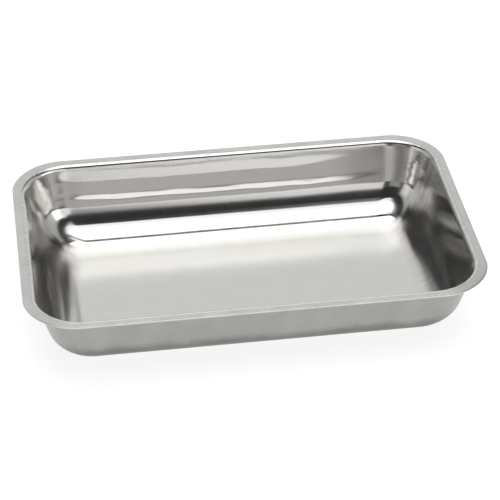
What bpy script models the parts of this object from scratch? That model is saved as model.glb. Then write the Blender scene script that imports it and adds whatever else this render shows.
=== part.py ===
"""A rectangular instrument tray in stainless steel sheet, for Blender 4.5.

The bowl is drawn from one sheet: a flat floor, a wide bottom radius, four drafted walls and a
rounded shoulder. A flat band of the same sheet lies round the mouth, level with the shoulder's
crest, and its outer corners are trimmed a little flatter than a true quarter circle.

Metres, +Z up, +X along the tray's length. The origin is the middle of the underside.
"""

import math

import bmesh
import bpy

# Driving dimensions
RIM_LENGTH = 0.310
RIM_WIDTH = 0.202
HEIGHT = 0.051
SHEET = 0.0007
BAND_WIDTH = 0.005
SEAM_GAP = 0.0003
SHOULDER_RADIUS = 0.0034
DRAFT = math.radians(16.5)
BOTTOM_RADIUS = 0.0329
MOUTH_CORNER_RADIUS = 0.035
BOTTOM_TIGHTENING = 0.5
TRIM_LENGTH = 0.0335
TRIM_KINK = math.radians(6.0)

# Resolution
CORNER_STEPS = 12
SHOULDER_STEPS = 6
BOTTOM_STEPS = 12

# Colours: linear RGB, metallic, roughness
POLISHED_STEEL = ((0.62, 0.61, 0.59), 1.0, 0.12)
SATIN_STEEL = ((0.58, 0.58, 0.56), 1.0, 0.38)


def clear_scene():
    for old in list(bpy.data.objects):
        bpy.data.objects.remove(old)


def tray_collection():
    collection = bpy.data.collections.new("instrument_tray")
    bpy.context.scene.collection.children.link(collection)
    return collection


def steel(name, colour, metallic, roughness):
    material = bpy.data.materials.new(name)
    material.use_nodes = True
    shader = material.node_tree.nodes["Principled BSDF"]
    shader.inputs["Base Color"].default_value = (*colour, 1.0)
    shader.inputs["Metallic"].default_value = metallic
    shader.inputs["Roughness"].default_value = roughness
    return material


def arc(centre, radius, start, end, steps):
    """Points on a circle about centre, from the angle start to the angle end."""
    angles = [start + (end - start) * i / steps for i in range(steps + 1)]
    return [(centre[0] + radius * math.cos(a), centre[1] + radius * math.sin(a)) for a in angles]


def four_corners(corner):
    """The outline made by turning a corner at +X +Y, given as points about its own quarter."""
    outline = []
    for sign_x, sign_y in ((1, 1), (-1, 1), (-1, -1), (1, -1)):
        points = [(sign_x * x, sign_y * y) for x, y in corner]
        outline += points if sign_x == sign_y else points[::-1]
    return outline


def rounded_outline(inset, radius):
    """A rectangle with round corners, standing in from the rim's outer edge by inset."""
    half_x = RIM_LENGTH / 2 - inset
    half_y = RIM_WIDTH / 2 - inset
    centre = (half_x - radius, half_y - radius)
    return four_corners(arc(centre, radius, 0.0, math.pi / 2, CORNER_STEPS))


def trimmed_outline():
    """The rim's outer edge. Each corner is an arc flatter than a quarter circle, with faint kinks."""
    half_sweep = math.pi / 4 - TRIM_KINK
    half_chord = TRIM_LENGTH * math.sqrt(2) / 2
    radius = half_chord / math.sin(half_sweep)
    back = radius * math.cos(half_sweep) / math.sqrt(2)
    middle_x = RIM_LENGTH / 2 - TRIM_LENGTH / 2
    middle_y = RIM_WIDTH / 2 - TRIM_LENGTH / 2
    centre = (middle_x - back, middle_y - back)
    corner = arc(centre, radius, math.pi / 4 - half_sweep, math.pi / 4 + half_sweep, CORNER_STEPS)
    return four_corners(corner)


def bowl_profile():
    """The upper surface's section, from the shoulder's crest to the floor.

    Each point is (inset, height, corner radius). The shoulder and the wall keep one draft all round,
    so their corners tighten as fast as they stand in. The bottom radius's corners tighten slower.
    """
    wall_angle = math.pi / 2 - DRAFT
    crest = BAND_WIDTH + SEAM_GAP
    profile = []
    for i in range(SHOULDER_STEPS + 1):
        a = wall_angle * i / SHOULDER_STEPS
        in_from_crest = SHOULDER_RADIUS * math.sin(a)
        height = HEIGHT - SHOULDER_RADIUS * (1 - math.cos(a))
        profile.append((crest + in_from_crest, height, MOUTH_CORNER_RADIUS - in_from_crest))
    wall_top, wall_top_z, wall_top_radius = profile[-1]
    inner_radius = BOTTOM_RADIUS - SHEET
    wall_foot_z = SHEET + inner_radius * (1 - math.cos(wall_angle))
    lean = (wall_top_z - wall_foot_z) * math.tan(DRAFT)
    for i in range(BOTTOM_STEPS + 1):
        a = wall_angle * (1 - i / BOTTOM_STEPS)
        in_from_foot = inner_radius * (math.sin(wall_angle) - math.sin(a))
        height = SHEET + inner_radius * (1 - math.cos(a))
        radius = wall_top_radius - lean - BOTTOM_TIGHTENING * in_from_foot
        profile.append((wall_top + lean + in_from_foot, height, radius))
    return profile


def drawn_bowl(material):
    """A loft of round-cornered sections, closed by the floor, and thickened outwards."""
    mesh = bmesh.new()
    rings = []
    for inset, height, radius in bowl_profile():
        outline = rounded_outline(inset, radius)
        rings.append([mesh.verts.new((x, y, height)) for x, y in outline])
    for upper, lower in zip(rings, rings[1:]):
        for i in range(len(upper)):
            j = (i + 1) % len(upper)
            mesh.faces.new((upper[i], upper[j], lower[j], lower[i]))
    mesh.faces.new(rings[-1])
    data = bpy.data.meshes.new("drawn_bowl")
    mesh.to_mesh(data)
    mesh.free()
    bowl = bpy.data.objects.new("drawn_bowl", data)
    sheet = bowl.modifiers.new("sheet", "SOLIDIFY")
    sheet.thickness = SHEET
    sheet.offset = -1.0
    sheet.use_even_offset = True
    data.materials.append(material)
    data.shade_smooth()
    return bowl


def rim_band(material):
    """The flat band round the mouth: one outline inside another, half a sheet thick each way."""
    curve = bpy.data.curves.new("rim_band", "CURVE")
    curve.dimensions = "2D"
    curve.fill_mode = "BOTH"
    curve.extrude = SHEET / 2
    for outline in (trimmed_outline(), rounded_outline(BAND_WIDTH, MOUTH_CORNER_RADIUS)):
        spline = curve.splines.new("POLY")
        spline.points.add(len(outline) - 1)
        for point, (x, y) in zip(spline.points, outline):
            point.co = (x, y, 0.0, 1.0)
        spline.use_cyclic_u = True
    band = bpy.data.objects.new("rim_band", curve)
    band.location.z = HEIGHT - SHEET / 2
    curve.materials.append(material)
    return band


def main():
    clear_scene()
    collection = tray_collection()
    collection.objects.link(drawn_bowl(steel("polished_steel", *POLISHED_STEEL)))
    collection.objects.link(rim_band(steel("satin_steel", *SATIN_STEEL)))


main()
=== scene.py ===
"""The looks of a deep-drawn stainless steel instrument tray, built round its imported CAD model.

Two pieces stand for the two CAD nodes: the mirror-polished bowl and the satin rim band, both as
finely divided lofts of the CAD sections in the same 0.7 mm sheet. The rest is the sheet's finish
and the studio that it mirrors: a world of soft panels in fixed directions, over a pale table.

Metres, +Z up, +X along the tray, -Y towards the viewer.
"""

import math

import bmesh
import bpy
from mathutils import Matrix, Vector, noise


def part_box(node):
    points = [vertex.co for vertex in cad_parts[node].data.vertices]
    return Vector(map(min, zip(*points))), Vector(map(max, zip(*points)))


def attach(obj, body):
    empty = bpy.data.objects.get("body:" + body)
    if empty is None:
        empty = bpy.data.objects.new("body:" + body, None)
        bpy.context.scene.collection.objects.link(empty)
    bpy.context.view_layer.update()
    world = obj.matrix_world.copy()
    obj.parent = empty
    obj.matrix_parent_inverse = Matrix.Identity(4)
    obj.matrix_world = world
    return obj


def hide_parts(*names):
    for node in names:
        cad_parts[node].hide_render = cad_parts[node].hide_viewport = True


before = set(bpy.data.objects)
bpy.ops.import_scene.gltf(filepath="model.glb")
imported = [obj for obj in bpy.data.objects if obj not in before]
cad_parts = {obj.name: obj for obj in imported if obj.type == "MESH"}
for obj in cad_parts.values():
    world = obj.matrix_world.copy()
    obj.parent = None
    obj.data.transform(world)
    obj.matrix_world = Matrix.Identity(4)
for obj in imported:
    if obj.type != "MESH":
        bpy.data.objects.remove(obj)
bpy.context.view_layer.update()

# The sheet's sizes, read from the frame
RIM_LOW, RIM_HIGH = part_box("rim_band")
BOWL_LOW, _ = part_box("drawn_bowl")
RIM_LENGTH = RIM_HIGH.x - RIM_LOW.x
RIM_WIDTH = RIM_HIGH.y - RIM_LOW.y
HEIGHT = RIM_HIGH.z
SHEET = RIM_HIGH.z - RIM_LOW.z
CREST_INSET = BOWL_LOW.x - RIM_LOW.x

# The section's own sizes, as in the CAD
SHOULDER_RADIUS = 0.0034
DRAFT = math.radians(16.5)
BOTTOM_RADIUS = 0.0329
MOUTH_CORNER_RADIUS = 0.035
BOTTOM_TIGHTENING = 0.5
TRIM_LENGTH = 0.0335
TRIM_KINK = math.radians(6.0)

# Finer than the CAD: the rounding of the band's outer edges, and how far in from the walls' foot and
# out from it the corners change from the walls' tightening to the bottom radius's
ARRIS = 0.00018
TIGHTENING_BLEND = 0.004

# Fineness of the meshes
CORNER_STEPS = 32
LONG_STEPS = 56
SHORT_STEPS = 34
SHOULDER_STEPS = 12
WALL_STEPS = 44
BOTTOM_STEPS = 44
FLOOR_STEPS = 14
ARRIS_STEPS = 3
BAND_STEPS = 4
MERGE_DISTANCE = 0.000001
SHARP_EDGE = math.radians(40)

# What drawing leaves in the walls, all the way round: a height, how far it reaches above and below,
# how many degrees the wall leans back there (+) or stands steeper (-), and how even it is across its
# reach. The first two are the upper marks. Below the lowest one, the wall is back on its line from
# MARKS_END down.
DRAW_MARKS = ((0.0412, 0.0044, 2.9, 2), (0.0362, 0.0018, -0.8, 2), (0.0268, 0.0027, -1.95, 6))
UPPER_MARKS = 2
MARKS_FOOT = min(middle - half for middle, half, _, _ in DRAW_MARKS)
MARKS_END = 0.0150

# How the marks change round the tray. Each pair is where a change starts and where it is complete, in
# x or in y. Towards the corners they climb and get steeper, and in the corners they fade out. They
# weaken towards +X, on the short walls and on the near wall. The upper ones end short of +X.
CLIMB_REACH = (0.045, 0.115)
MARK_CLIMB = 0.0024
STEEPENING = 0.35
CORNER_X = (0.106, 0.134)
CORNER_Y = (0.046, 0.074)
RIGHT_REACH = (0.03, 0.14)
RIGHT_LOSS = 0.25
UPPER_END = (0.050, 0.095)
SHORT_WALL_LOSS = 0.6
NEAR_WALL_LOSS = 0.6

# The sheet's slight waviness after drawing. Each kind of wave has its own layer of the same noise.
WAVE_LENGTH = 0.035
WALL_WAVE = 0.000016
WALL_STRETCH = 5.0
WALL_OCTAVES = 4
FLOOR_WAVE = 0.00003
FLOOR_LAYER = 7.3
FLOOR_OCTAVES = 2
FLOOR_POWER = 4
MARK_DRIFT = 0.0008
MARK_LAYER = 0.7
MARK_LAYER_STEP = 3.1
MARK_OCTAVES = 2

# The inner polish by height above the floor: lowest height, roughness, how far it is smeared round
POLISH = ((0.0016, 0.115, 1.0), (0.0012, 0.14, 0.75), (0.0008, 0.155, 0.5), (0.0004, 0.165, 0.25),
          (0.0, 0.175, 0.0))
POLISH_TONES = ((0.675, 0.675, 0.655), (0.695, 0.695, 0.675))
POLISH_CLOUDS = 60.0
POLISH_SPREAD = 0.06
WALL_WARMTH = 0.008
CLOUD_RANGE = (0.3, 0.7)

# Fine draw lines in the polished walls: how many to a metre round the tray and down it, how high they
# stand, and the darker tone of their streaks. They are full on the short walls, from END_REACH out,
# and faint on the long ones.
LINES = (260.0, 7.0, 1.0)
LINE_HEIGHT = 0.00003
LINE_ROUGHNESS = 0.6
END_REACH = (0.112, 0.136)
LONG_WALL_LINES = 0.08
STREAK_RANGE = (0.35, 0.65)
STREAK_DEPTH = 0.22
STREAK_TONE = (0.30, 0.29, 0.28)

# The satin's clouds, half of them drawn out down the walls, and its grain
SATIN_CLOUDS = 45.0
SATIN_LINES = (55.0, 14.0, 1.0)
SATIN_DARKENING = 0.86
SATIN_SPREAD = 0.02
GRAIN_RANGE = (0.35, 0.65)
GRAIN_DARKENING = 0.06
GRAIN_HEIGHT = 0.00003

# Painted shade: the outside's colour darkens round its foot, where the bowl curves in and mirrors the
# shaded table, and is plain again underneath
FOOT_SHADE_TONE = (0.06, 0.05, 0.045)
FOOT_SHADE_HEIGHTS = (0.030, 0.015)
FOOT_SHADE_DRIFT = 0.010
UNDERSIDE_HEIGHTS = (0.0006, 0.0075)

# The table
TABLE_HALF = 3.0
TABLE_DROP = 0.0002
TABLE_TONE = 0.30
TABLE_ROUGHNESS = 0.8
TABLE_GLOW = 0.84

# The camera
CAMERA_PLACE = Vector((-0.1605, -1.1693, HEIGHT + 0.8))
CAMERA_ANGLES = [math.radians(a) for a in (55.187, 0.223, -8.182)]
CAMERA_LENS = 149.5
CAMERA_SENSOR = 36.0
CAMERA_REACH = 20.0


# ---------------------------------------------------------------- outlines and sections


def arc(centre, radius, start, end, steps):
    """Points on a circle about centre, from the angle start to the angle end."""
    angles = [start + (end - start) * i / steps for i in range(steps + 1)]
    return [(centre[0] + radius * math.cos(a), centre[1] + radius * math.sin(a)) for a in angles]


def run(start, end, steps):
    """Points between start and end, both left out."""
    return [(start[0] + (end[0] - start[0]) * i / steps, start[1] + (end[1] - start[1]) * i / steps)
            for i in range(1, steps)]


def closed_outline(corner):
    """The whole outline from its +X +Y corner, with its straight sides divided."""
    corners = []
    for sign_x, sign_y in ((1, 1), (-1, 1), (-1, -1), (1, -1)):
        points = [(sign_x * x, sign_y * y) for x, y in corner]
        corners.append(points if sign_x == sign_y else points[::-1])
    outline = []
    for i, points in enumerate(corners):
        following = corners[(i + 1) % 4]
        steps = LONG_STEPS if i % 2 == 0 else SHORT_STEPS
        outline += points + run(points[-1], following[0], steps)
    return outline


def rounded_outline(inset, radius):
    """A rectangle with round corners, standing in from the rim's outer edge by inset."""
    centre = (RIM_LENGTH / 2 - inset - radius, RIM_WIDTH / 2 - inset - radius)
    return closed_outline(arc(centre, radius, 0.0, math.pi / 2, CORNER_STEPS))


def trimmed_outline(inset):
    """The rim's outer edge: corners that are arcs flatter than a quarter circle, with faint kinks."""
    half_sweep = math.pi / 4 - TRIM_KINK
    half_chord = TRIM_LENGTH * math.sqrt(2) / 2
    radius = half_chord / math.sin(half_sweep)
    back = radius * math.cos(half_sweep) / math.sqrt(2)
    centre = (RIM_LENGTH / 2 - TRIM_LENGTH / 2 - back, RIM_WIDTH / 2 - TRIM_LENGTH / 2 - back)
    start = math.pi / 4 - half_sweep
    corner = arc(centre, radius - inset, start, math.pi / 4 + half_sweep, CORNER_STEPS)
    limit_x = RIM_LENGTH / 2 - inset
    limit_y = RIM_WIDTH / 2 - inset
    corner = [(min(x, limit_x), min(y, limit_y)) for x, y in corner]
    return closed_outline(corner)


def corner_radius(inset, foot):
    """The corners' radius at an inset. They tighten less below the walls' foot, after a blend."""
    radius = MOUTH_CORNER_RADIUS - (inset - CREST_INSET)
    past = inset - foot + TIGHTENING_BLEND
    eased = min(past, 2 * TIGHTENING_BLEND)
    if past > 0:
        radius += (1 - BOTTOM_TIGHTENING) * (eased ** 2 / (4 * TIGHTENING_BLEND) + past - eased)
    return radius


def bowl_section():
    """The upper surface's section from the shoulder's crest to the floor: (inset, height, radius)."""
    wall_angle = math.pi / 2 - DRAFT
    section = []
    for i in range(SHOULDER_STEPS + 1):
        a = wall_angle * i / SHOULDER_STEPS
        inward = SHOULDER_RADIUS * math.sin(a)
        height = HEIGHT - SHOULDER_RADIUS * (1 - math.cos(a))
        section.append((CREST_INSET + inward, height))
    top, top_z = section[-1]
    inner_radius = BOTTOM_RADIUS - SHEET
    foot_z = SHEET + inner_radius * (1 - math.cos(wall_angle))
    lean = (top_z - foot_z) * math.tan(DRAFT)
    for i in range(1, WALL_STEPS):
        share = i / WALL_STEPS
        section.append((top + lean * share, top_z + (foot_z - top_z) * share))
    for i in range(BOTTOM_STEPS + 1):
        a = wall_angle * (1 - i / BOTTOM_STEPS)
        inward = inner_radius * (math.sin(wall_angle) - math.sin(a))
        height = SHEET + inner_radius * (1 - math.cos(a))
        section.append((top + lean + inward, height))
    return [(inset, height, corner_radius(inset, top + lean)) for inset, height in section]


def floor_rings(edge):
    """Rings from the floor's edge in to the line along its middle."""
    half_line = max(x for x, _ in edge) - max(y for _, y in edge)
    rings = []
    for k in range(1, FLOOR_STEPS + 1):
        share = k / FLOOR_STEPS
        ring = []
        for x, y in edge:
            goal = max(-half_line, min(half_line, x))
            ring.append((x + (goal - x) * share, y * (1 - share)))
        rings.append(ring)
    return rings


# ---------------------------------------------------------------- meshes


def loft(mesh, rings, uv_layer):
    """Quads between closed rings of points. The UV map is metres round the sheet and down it."""
    around = [0.0]
    first = rings[0]
    for i in range(len(first)):
        around.append(around[-1] + (Vector(first[(i + 1) % len(first)]) - Vector(first[i])).length)
    down = [0.0]
    for upper, lower in zip(rings, rings[1:]):
        middle = len(upper) - SHORT_STEPS // 2
        down.append(down[-1] + (Vector(lower[middle]) - Vector(upper[middle])).length)
    verts = [[mesh.verts.new(point) for point in ring] for ring in rings]
    for k, (upper, lower) in enumerate(zip(verts, verts[1:])):
        for i in range(len(upper)):
            j = (i + 1) % len(upper)
            face = mesh.faces.new((upper[i], upper[j], lower[j], lower[i]))
            face.smooth = True
            corners = ((i, k), (i + 1, k), (i + 1, k + 1), (i, k + 1))
            for corner, (a, d) in zip(face.loops, corners):
                corner[uv_layer].uv = (around[a], down[d])


def share_of(value, start, end):
    """How far value has come from start to end, held between 0 and 1."""
    return max(0.0, min(1.0, (value - start) / (end - start)))


def ripple(x, y, z, octaves):
    """Smooth noise. Each octave's waves are half as long and half as high as the one's before."""
    return noise.fractal(Vector((x, y, z)) / WAVE_LENGTH, 1.0, 2.0, octaves)


def draw_mark(x, y, z):
    """How far the wall stands in of its straight line at a place: the sum of its lean above there."""
    inward = 0.0
    end = share_of(abs(x), *CLIMB_REACH) ** 2
    for k, (middle, half, lean, even) in enumerate(DRAW_MARKS):
        drift = ripple(x, y, MARK_LAYER_STEP * k + MARK_LAYER, MARK_OCTAVES)
        u = max(-1.0, min(1.0, (z - middle - MARK_CLIMB * end - MARK_DRIFT * drift) / half))
        lean *= 1 + STEEPENING * end
        if k < UPPER_MARKS:
            lean *= 1 - share_of(x, *UPPER_END)
        inward += math.radians(lean) * half * (1 - u - (1 - u ** (even + 1)) / (even + 1))
    return inward * share_of(z, MARKS_END, MARKS_FOOT)


def mark_strength(x, y):
    """How strong the draw marks are on the wall at a place in plan."""
    strength = 1 - RIGHT_LOSS * share_of(x, *RIGHT_REACH)
    strength *= 1 - share_of(abs(x), *CORNER_X) * share_of(abs(y), *CORNER_Y)
    strength *= 1 - SHORT_WALL_LOSS * share_of(abs(x), *CORNER_X)
    strength *= 1 - NEAR_WALL_LOSS * share_of(-y, *CORNER_Y)
    return strength


def add_waves(mesh):
    """Moves the bowl's inner surface by its marks and its waviness, which fades out at the crest.

    The walls' waves are several times longer round the tray than down it. The floor's are round.
    """
    mesh.normal_update()
    moves = []
    for vert in mesh.verts:
        x, y, z = vert.co
        flat = max(0.0, min(1.0, vert.normal.z)) ** FLOOR_POWER
        depth = min(1.0, (HEIGHT - z) / (2 * SHOULDER_RADIUS))
        wall = WALL_WAVE * ripple(x, y, z * WALL_STRETCH, WALL_OCTAVES) * depth
        wall += draw_mark(x, y, z) * mark_strength(x, y)
        floor = FLOOR_WAVE * ripple(x, y, FLOOR_LAYER, FLOOR_OCTAVES)
        moves.append(vert.normal * ((1 - flat) * wall + flat * floor))
    for vert, move in zip(mesh.verts, moves):
        vert.co += move


def new_object(name, mesh):
    """Turns a bmesh into an object in the scene."""
    data = bpy.data.meshes.new(name)
    mesh.to_mesh(data)
    mesh.free()
    piece = bpy.data.objects.new(name, data)
    bpy.context.scene.collection.objects.link(piece)
    return piece


def bowl_piece():
    """The drawn bowl: shoulder, walls, bottom radius and floor in one sheet of even thickness."""
    section = bowl_section()
    rings = []
    for inset, height, radius in section:
        rings.append([(x, y, height) for x, y in rounded_outline(inset, radius)])
    inset, height, radius = section[-1]
    for ring in floor_rings(rounded_outline(inset, radius)):
        rings.append([(x, y, height) for x, y in ring])
    mesh = bmesh.new()
    uv_layer = mesh.loops.layers.uv.new("sheet")
    loft(mesh, rings, uv_layer)
    bmesh.ops.remove_doubles(mesh, verts=mesh.verts, dist=MERGE_DISTANCE)
    bmesh.ops.recalc_face_normals(mesh, faces=mesh.faces)
    if sum(face.normal.z for face in mesh.faces) < 0:
        bmesh.ops.reverse_faces(mesh, faces=mesh.faces)
    add_waves(mesh)
    for face in mesh.faces:
        height = face.calc_center_median().z - SHEET
        face.material_index = sum(height < lowest for lowest, _, _ in POLISH[:-1])
    piece = new_object("polished_bowl", mesh)
    sheet = piece.modifiers.new("sheet", "SOLIDIFY")
    sheet.thickness = SHEET
    sheet.offset = -1.0
    sheet.use_even_offset = True
    sheet.material_offset = len(POLISH)
    sheet.material_offset_rim = len(POLISH)
    return piece


def band_piece():
    """The flat satin band with fine rounded arrises at its outer edge, closed under and inside."""
    rings = []
    inner = rounded_outline(CREST_INSET, MOUTH_CORNER_RADIUS)
    underside = HEIGHT - SHEET
    outer_top = trimmed_outline(ARRIS)
    for k in range(BAND_STEPS + 1):
        share = k / BAND_STEPS
        ring = [(a[0] + (b[0] - a[0]) * share, a[1] + (b[1] - a[1]) * share, HEIGHT)
                for a, b in zip(inner, outer_top)]
        rings.append(ring)
    for k in range(1, ARRIS_STEPS + 1):
        a = math.pi / 2 * k / ARRIS_STEPS
        out = ARRIS * (1 - math.sin(a))
        height = HEIGHT - ARRIS * (1 - math.cos(a))
        rings.append([(x, y, height) for x, y in trimmed_outline(out)])
    for k in range(ARRIS_STEPS + 1):
        a = math.pi / 2 * k / ARRIS_STEPS
        out = ARRIS * (1 - math.cos(a))
        height = underside + ARRIS * (1 - math.sin(a))
        rings.append([(x, y, height) for x, y in trimmed_outline(out)])
    rings.append([(x, y, underside) for x, y in inner])
    rings.append(rings[0])
    mesh = bmesh.new()
    uv_layer = mesh.loops.layers.uv.new("sheet")
    loft(mesh, rings, uv_layer)
    bmesh.ops.remove_doubles(mesh, verts=mesh.verts, dist=MERGE_DISTANCE)
    bmesh.ops.recalc_face_normals(mesh, faces=mesh.faces)
    piece = new_object("satin_rim_band", mesh)
    piece.data.set_sharp_from_angle(angle=SHARP_EDGE)
    return piece


# ---------------------------------------------------------------- node helpers


class Nodes:
    """Short calls for building a node tree."""

    def __init__(self, tree):
        self.tree = tree
        tree.nodes.clear()

    def add(self, kind, **settings):
        node = self.tree.nodes.new(kind)
        for key, value in settings.items():
            setattr(node, key, value)
        return node

    def link(self, source, target):
        self.tree.links.new(source, target)

    def put(self, value, socket):
        """value is a number, a colour or another node's output."""
        if isinstance(value, bpy.types.NodeSocket):
            self.link(value, socket)
        else:
            socket.default_value = value

    def math(self, operation, *values):
        """One Math node's result."""
        node = self.add("ShaderNodeMath", operation=operation)
        for value, socket in zip(values, node.inputs):
            self.put(value, socket)
        return node.outputs[0]

    def ramp(self, value, low, high, out_low=0.0, out_high=1.0):
        """value from low to high, mapped smoothly to out_low to out_high and held beyond them."""
        node = self.add("ShaderNodeMapRange", interpolation_type="SMOOTHSTEP")
        for key, number in (("Value", value), ("From Min", low), ("From Max", high),
                            ("To Min", out_low), ("To Max", out_high)):
            self.put(number, node.inputs[key])
        return node.outputs["Result"]

    def mix(self, factor, first, second):
        """Two colours mixed. The node has one pair of A and B sockets for each data type."""
        node = self.add("ShaderNodeMix", data_type="RGBA")
        first_colour, second_colour = node.inputs[6:8]
        self.put(factor, node.inputs["Factor"])
        self.put(first, first_colour)
        self.put(second, second_colour)
        return node.outputs[2]

    def noise(self, vector, scale, detail=2.0, roughness=0.5):
        node = self.add("ShaderNodeTexNoise")
        self.put(vector, node.inputs["Vector"])
        node.inputs["Scale"].default_value = scale
        node.inputs["Detail"].default_value = detail
        node.inputs["Roughness"].default_value = roughness
        return node.outputs["Fac"]

    def stretched(self, vector, scale):
        """A vector times a scale for each axis."""
        node = self.add("ShaderNodeMapping")
        self.put(vector, node.inputs["Vector"])
        node.inputs["Scale"].default_value = scale
        return node.outputs["Vector"]

    def split(self, vector):
        """The x, y and z of a vector."""
        node = self.add("ShaderNodeSeparateXYZ")
        self.link(vector, node.inputs[0])
        return tuple(node.outputs)

    def bump(self, height, strength, distance):
        node = self.add("ShaderNodeBump")
        node.inputs["Strength"].default_value = strength
        node.inputs["Distance"].default_value = distance
        self.put(height, node.inputs["Height"])
        return node.outputs["Normal"]


# ---------------------------------------------------------------- finishes


def steel(name):
    """A bare metal: the material, its nodes and its shader."""
    material = bpy.data.materials.new(name)
    material.use_nodes = True
    nodes = Nodes(material.node_tree)
    shader = nodes.add("ShaderNodeBsdfPrincipled")
    shader.inputs["Metallic"].default_value = 1.0
    output = nodes.add("ShaderNodeOutputMaterial")
    nodes.link(shader.outputs[0], output.inputs["Surface"])
    return material, nodes, shader


def smear_gloss(nodes, shader, amount, turn):
    """Spreads the highlights one way over the sheet: round the tray at turn 0, down it at 0.25."""
    shader.inputs["Anisotropic"].default_value = amount
    shader.inputs["Anisotropic Rotation"].default_value = turn
    along = nodes.add("ShaderNodeTangent", direction_type="UV_MAP", uv_map="sheet")
    nodes.link(along.outputs[0], shader.inputs["Tangent"])


def polish(name, roughness, smear):
    """Mirror polish. On the walls it lies over vertical draw lines, which smear it round the bowl."""
    material, nodes, shader = steel(name)
    place = nodes.add("ShaderNodeNewGeometry").outputs["Position"]
    cloud = nodes.noise(place, POLISH_CLOUDS, 3.0)
    spread = POLISH_SPREAD * roughness
    gloss = nodes.ramp(cloud, *CLOUD_RANGE, roughness - spread, roughness + spread)
    nodes.link(gloss, shader.inputs["Roughness"])
    warmth = WALL_WARMTH * smear
    tones = [(red + warmth, green - warmth / 2, blue, 1) for red, green, blue in POLISH_TONES]
    tint = nodes.mix(nodes.ramp(cloud, *CLOUD_RANGE), *tones)
    if smear:
        sheet = nodes.add("ShaderNodeUVMap", uv_map="sheet").outputs[0]
        lines = nodes.noise(nodes.stretched(sheet, LINES), 1.0, 3.0, LINE_ROUGHNESS)
        out = nodes.math("ABSOLUTE", nodes.split(place)[0])
        ends = nodes.ramp(out, *END_REACH, LONG_WALL_LINES, 1.0)
        relief = nodes.bump(nodes.math("MULTIPLY", lines, ends), 1.0, LINE_HEIGHT)
        nodes.link(relief, shader.inputs["Normal"])
        streak = nodes.ramp(lines, *STREAK_RANGE, 0.0, STREAK_DEPTH * smear)
        tint = nodes.mix(nodes.math("MULTIPLY", streak, ends), tint, (*STREAK_TONE, 1))
        smear_gloss(nodes, shader, smear, 0.0)
    nodes.link(tint, shader.inputs["Base Color"])
    return material


def satin_finish(name, colour, roughness, grain_scale, grain, brushed=0.0, foot_unshaded=1.0):
    """A fine even satin: small grain in the relief and in the tone, over soft clouds.

    brushed smears it across its brushing, which runs round the tray. foot_unshaded is how much of its
    colour is left round the tray's foot under the painted shade there.
    """
    material, nodes, shader = steel(name)
    place = nodes.add("ShaderNodeNewGeometry").outputs["Position"]
    sheet = nodes.add("ShaderNodeUVMap", uv_map="sheet").outputs[0]
    fine = nodes.noise(place, grain_scale, 2.0)
    drawn = nodes.noise(nodes.stretched(sheet, SATIN_LINES), 1.0, 4.0, 0.6)
    even = nodes.noise(place, SATIN_CLOUDS, 4.0, 0.6)
    cloud = nodes.math("MULTIPLY_ADD", even, 0.5, nodes.math("MULTIPLY", drawn, 0.5))
    gloss = nodes.ramp(cloud, *CLOUD_RANGE, roughness - SATIN_SPREAD, roughness + SATIN_SPREAD)
    nodes.link(gloss, shader.inputs["Roughness"])
    darker = tuple(SATIN_DARKENING * c for c in colour)
    tone = nodes.mix(nodes.ramp(cloud, *CLOUD_RANGE), (*darker, 1), (*colour, 1))
    tone = nodes.mix(nodes.ramp(fine, *GRAIN_RANGE, 0.0, GRAIN_DARKENING), tone, (0, 0, 0, 1))
    # Painted shade round the foot: the colour darkens towards the foot's dark tone there and fades
    # back out on the flat underside
    if foot_unshaded < 1:
        height = nodes.split(place)[2]
        drift = nodes.math("MULTIPLY_ADD", cloud, FOOT_SHADE_DRIFT, height)
        low = nodes.ramp(drift, *FOOT_SHADE_HEIGHTS, 0.0, 1 - foot_unshaded)
        low = nodes.math("MULTIPLY", low, nodes.ramp(height, *UNDERSIDE_HEIGHTS))
        tone = nodes.mix(low, tone, (*FOOT_SHADE_TONE, 1))
    nodes.link(tone, shader.inputs["Base Color"])
    nodes.link(nodes.bump(fine, grain, GRAIN_HEIGHT), shader.inputs["Normal"])
    if brushed:
        smear_gloss(nodes, shader, brushed, 0.25)
    return material


# ---------------------------------------------------------------- studio

# Each panel: the azimuth of its middle (0 is at -Y, 90 at +X) and half its width, its lowest and
# highest elevation, all in degrees, then its strength, the softness of its edges in degrees, and how
# many degrees it climbs for each degree of azimuth. Later panels lie over earlier ones, and all lie
# over the surround.
SURROUND = 0.70
PANELS = (
    ("overhead_edge", 0, 180, 54.5, 99, 1.70, 4, 0.0),
    ("overhead", 0, 180, 66, 99, 2.70, 10, 0.0),
    ("zenith", 0, 180, 80, 99, 3.60, 10, 0.0),
    ("far_white", 160, 62, 55.0, 87, 2.70, 3, 0.0),
    ("far_card", 172, 50, -9, 48, 1.05, 6, 0.0),
    ("far_belt", 172, 45, 47, 54, 0.06, 3, 0.0),
    ("far_right_dark", 142, 16, 29, 47, 0.20, 5, 0.0),
    ("far_left_dark", -139, 12, -9, 43, 0.40, 6, 0.0),
    ("front_dark", -23, 40, -9, 56, 0.045, 2.5, 0.0),
    ("front_grey", -34, 18, -9, 24, 0.42, 6, 0.0),
    ("left_spot", -77, 14, -9, 34, 1.15, 6, 0.0),
    ("left_belt", -97, 50, 43, 65.5, 0.04, 2.5, -0.1),
    ("right_belt", 72, 62, 37, 56.5, 0.05, 2.5, 0.2),
    ("front_card", 4, 5, -9, 19.0, 1.35, 2, 2.5),
    ("front_right_card", 21, 17, -9, 29, 1.30, 3, 0.45),
    ("white_card", 53, 14, 0, 32, 2.30, 5, 0.0),
)

# The dark seam across the overhead panels: the middle and half width of its angle above +Y, how that
# grows with the direction's x, the softness of its edges, how far out in x it reaches, and over how
# much more of x it ends
SEAM = (77.9, 3.2, 20.0, 1.0, 0.45, 0.05)


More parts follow.
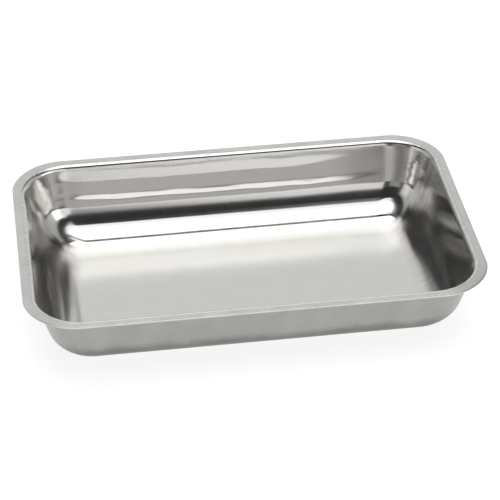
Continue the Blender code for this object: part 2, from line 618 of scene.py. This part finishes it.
def panel_mask(nodes, azimuth, elevation, middle, half, low, high, soft, slant):
    """1 inside a panel and 0 outside it, softly. A half width of 180 goes all the way round."""
    turned = nodes.math("WRAP", nodes.math("SUBTRACT", azimuth, middle), 180.0, -180.0)
    level = nodes.math("SUBTRACT", elevation, nodes.math("MULTIPLY", turned, slant))
    mask = nodes.ramp(level, low - soft / 2, low + soft / 2)
    mask = nodes.math("MULTIPLY", mask, nodes.ramp(level, high + soft / 2, high - soft / 2))
    if half < 180:
        off = nodes.math("ABSOLUTE", turned)
        mask = nodes.math("MULTIPLY", mask, nodes.ramp(off, half + soft / 2, half - soft / 2))
    return mask


def studio_world():
    """Soft panels that light the tray and show in it. The camera sees a plain pale backdrop."""
    world = bpy.data.worlds.new("studio")
    bpy.context.scene.world = world
    world.use_nodes = True
    nodes = Nodes(world.node_tree)
    x, y, z = nodes.split(nodes.add("ShaderNodeTexCoord").outputs["Generated"])
    elevation = nodes.math("MULTIPLY", nodes.math("ARCSINE", z), math.degrees(1))
    azimuth = nodes.math("ARCTAN2", x, nodes.math("MULTIPLY", y, -1.0))
    azimuth = nodes.math("MULTIPLY", azimuth, math.degrees(1))
    light = SURROUND
    for _, middle, half, low, high, radiance, soft, slant in PANELS:
        mask = panel_mask(nodes, azimuth, elevation, middle, half, low, high, soft, slant)
        light = nodes.math("ADD", nodes.math("MULTIPLY", light, nodes.math("SUBTRACT", 1.0, mask)),
                           nodes.math("MULTIPLY", mask, radiance))
    middle, half, slant, soft, reach, ending = SEAM
    turned = nodes.math("MULTIPLY", nodes.math("ARCTAN2", z, y), math.degrees(1))
    turned = nodes.math("SUBTRACT", turned, nodes.math("MULTIPLY", x, slant))
    off = nodes.math("ABSOLUTE", nodes.math("SUBTRACT", turned, middle))
    seam = nodes.ramp(off, half + soft / 2, half - soft / 2)
    within = nodes.ramp(nodes.math("ABSOLUTE", x), reach + ending, reach)
    seam = nodes.math("MULTIPLY", seam, within)
    light = nodes.math("MULTIPLY", light, nodes.math("SUBTRACT", 1.0, seam))
    seen = nodes.add("ShaderNodeBackground")
    lit = nodes.add("ShaderNodeBackground")
    nodes.link(light, lit.inputs["Strength"])
    direct = nodes.add("ShaderNodeLightPath").outputs["Is Camera Ray"]
    either = nodes.add("ShaderNodeMixShader")
    nodes.link(direct, either.inputs[0])
    nodes.link(lit.outputs[0], either.inputs[1])
    nodes.link(seen.outputs[0], either.inputs[2])
    output = nodes.add("ShaderNodeOutputWorld")
    nodes.link(either.outputs[0], output.inputs["Surface"])


def table():
    """A wide pale table top under the tray."""
    mesh = bmesh.new()
    bmesh.ops.create_grid(mesh, x_segments=1, y_segments=1, size=TABLE_HALF)
    piece = new_object("table", mesh)
    piece.location.z = -TABLE_DROP
    material = bpy.data.materials.new("pale_table")
    material.use_nodes = True
    shader = material.node_tree.nodes["Principled BSDF"]
    shader.inputs["Base Color"].default_value = (TABLE_TONE, TABLE_TONE, TABLE_TONE, 1)
    shader.inputs["Roughness"].default_value = TABLE_ROUGHNESS
    shader.inputs["Emission Color"].default_value = (1, 1, 1, 1)
    shader.inputs["Emission Strength"].default_value = TABLE_GLOW
    piece.data.materials.append(material)


def camera():
    """The camera, at the photo's viewing angle."""
    data = bpy.data.cameras.new("view")
    data.lens = CAMERA_LENS
    data.sensor_width = CAMERA_SENSOR
    data.clip_end = CAMERA_REACH
    piece = bpy.data.objects.new("view", data)
    piece.location = CAMERA_PLACE
    piece.rotation_euler = CAMERA_ANGLES
    bpy.context.scene.collection.objects.link(piece)
    bpy.context.scene.camera = piece


# ---------------------------------------------------------------- the scene

bowl = bowl_piece()
for step, (_, roughness, smear) in enumerate(POLISH):
    bowl.data.materials.append(polish("polish_%d" % step, roughness, smear))
# The outside's colour carries painted shade round the tray's foot
outside = satin_finish("satin_outside", (0.40, 0.40, 0.378), roughness=0.33, grain_scale=1500.0,
                       grain=0.35, foot_unshaded=0.12)
for _ in POLISH:
    bowl.data.materials.append(outside)
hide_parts("drawn_bowl")
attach(bowl, "root")

band = band_piece()
band.data.materials.append(satin_finish("satin_band", (0.69, 0.69, 0.67), roughness=0.24,
                                        grain_scale=2600.0, grain=0.08, brushed=0.8))
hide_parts("rim_band")
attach(band, "root")

table()
studio_world()
camera()
bpy.context.scene.view_settings.view_transform = "Standard"
